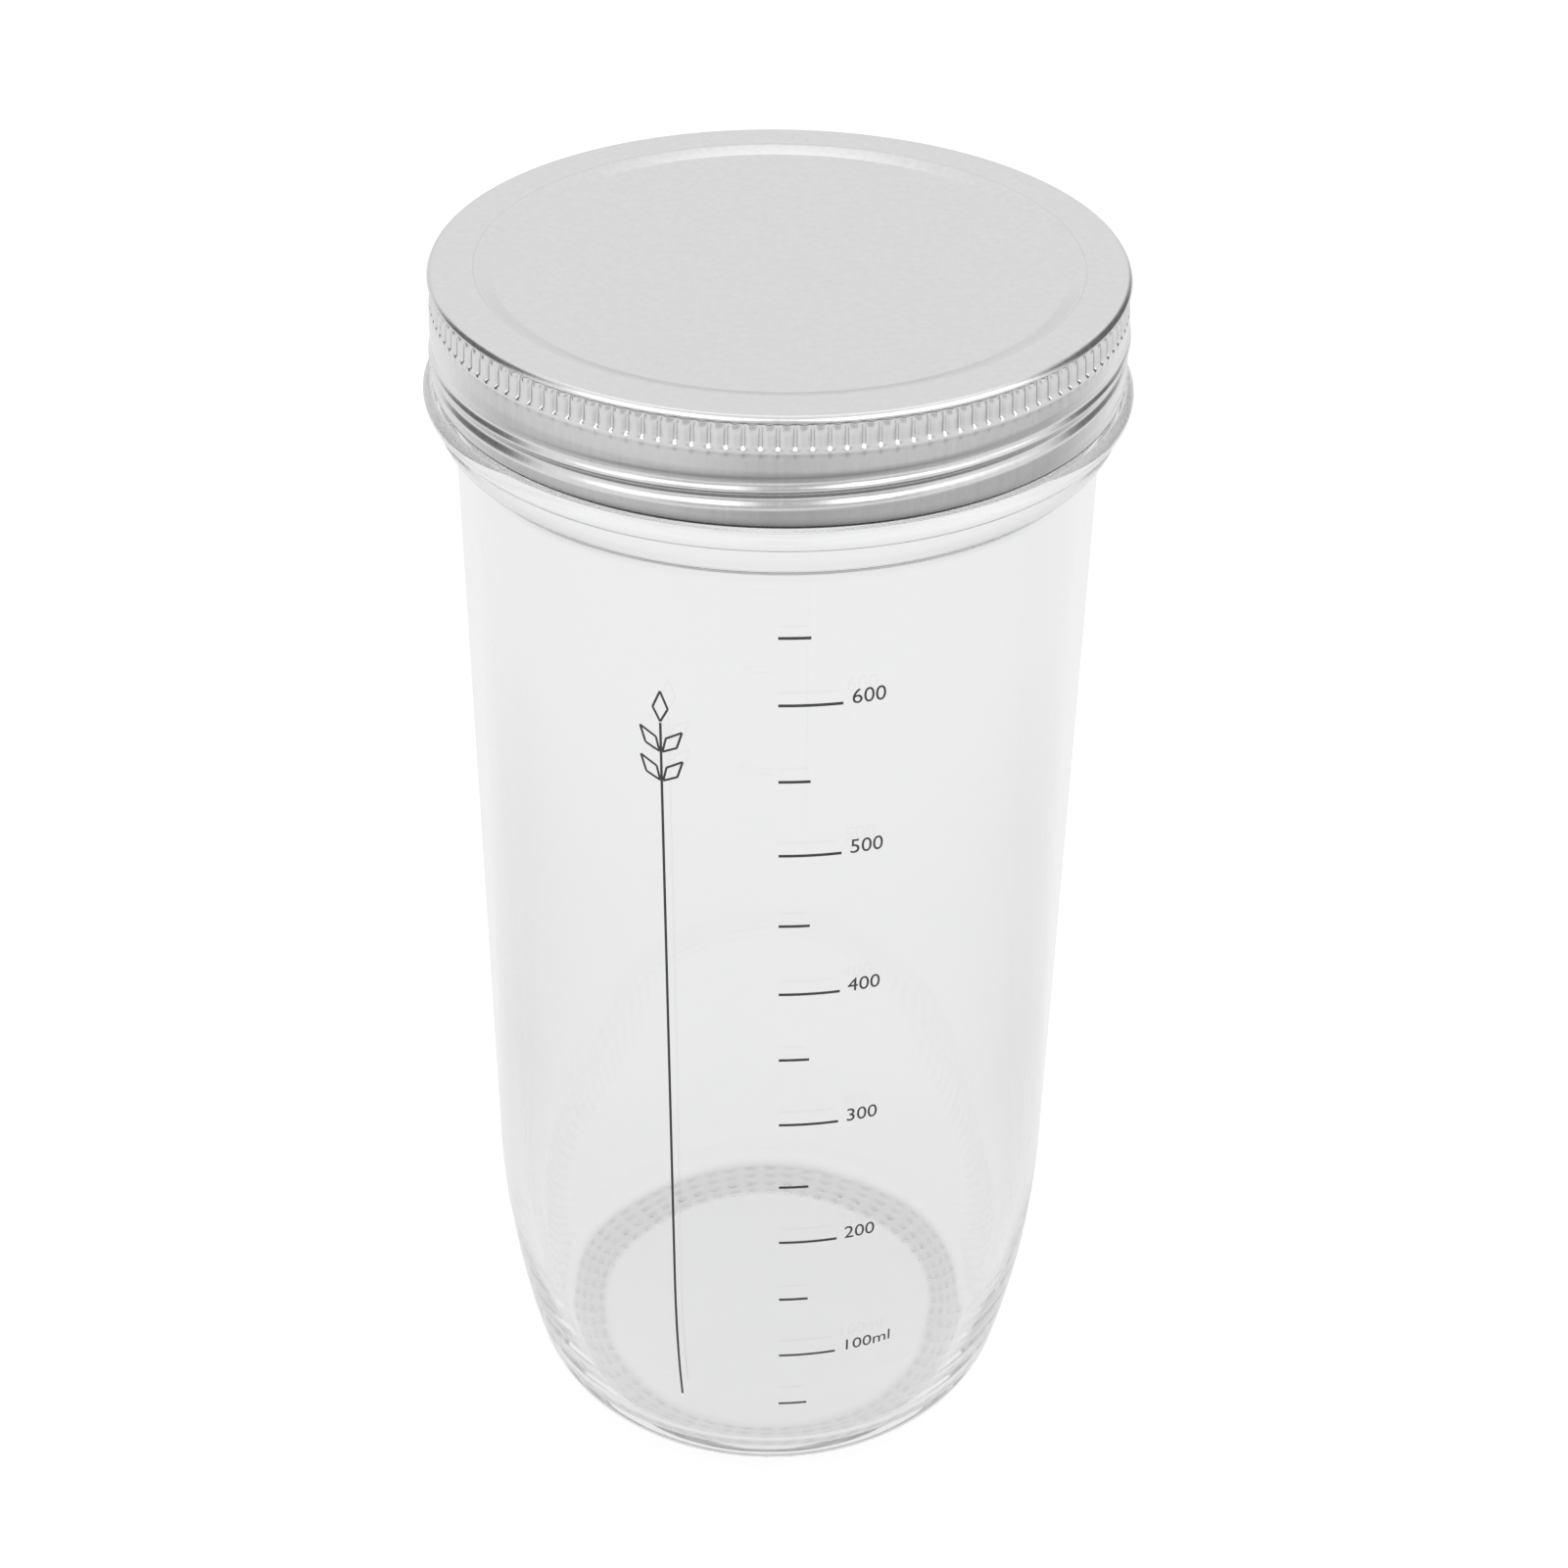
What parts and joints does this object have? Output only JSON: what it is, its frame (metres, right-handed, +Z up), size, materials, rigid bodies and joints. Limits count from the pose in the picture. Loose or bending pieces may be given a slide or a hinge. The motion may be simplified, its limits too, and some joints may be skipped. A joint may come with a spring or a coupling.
{
  "type": "screw-lid storage jar",
  "caption": "Tall clear glass storage jar with a rounded heel, a wide threaded neck and a one-piece fluted metal screw lid with a sealing ring that lifts off as it is turned.",
  "frame": {"origin": "centre of the ring that the jar stands on, on the surface it stands on", "axes": "+Z up along the axis of the jar and its lid, -Y towards the front, where the printed scale is, +X to the right seen from the front"},
  "size_m": [0.0908, 0.0908, 0.1775],
  "materials": {
    "glass": "clear, polished",
    "lid_metal": "satin",
    "seal": "matte",
    "ink": "printed ink, satin"
  },
  "bodies": {
    "jar": {"glass_jar": "glass"},
    "seal": {"sealing_ring": "seal"},
    "lid": {"screw_lid": "lid_metal"}
  },
  "joints": [
    {"name": "lid_lift", "type": "slide", "parent": "jar", "child": "seal", "axis": [0, 0, 1], "range_m": [0, 0.03]},
    {"name": "lid_turn", "type": "hinge", "parent": "seal", "child": "lid", "pos_m": [0, 0, 0.177], "axis": [0, 0, 1], "range_deg": [0, 1800]}
  ],
  "couplings": [
    {"joint": "lid_lift", "follows": "lid_turn", "m_per_rad": 0.0009549}
  ]
}
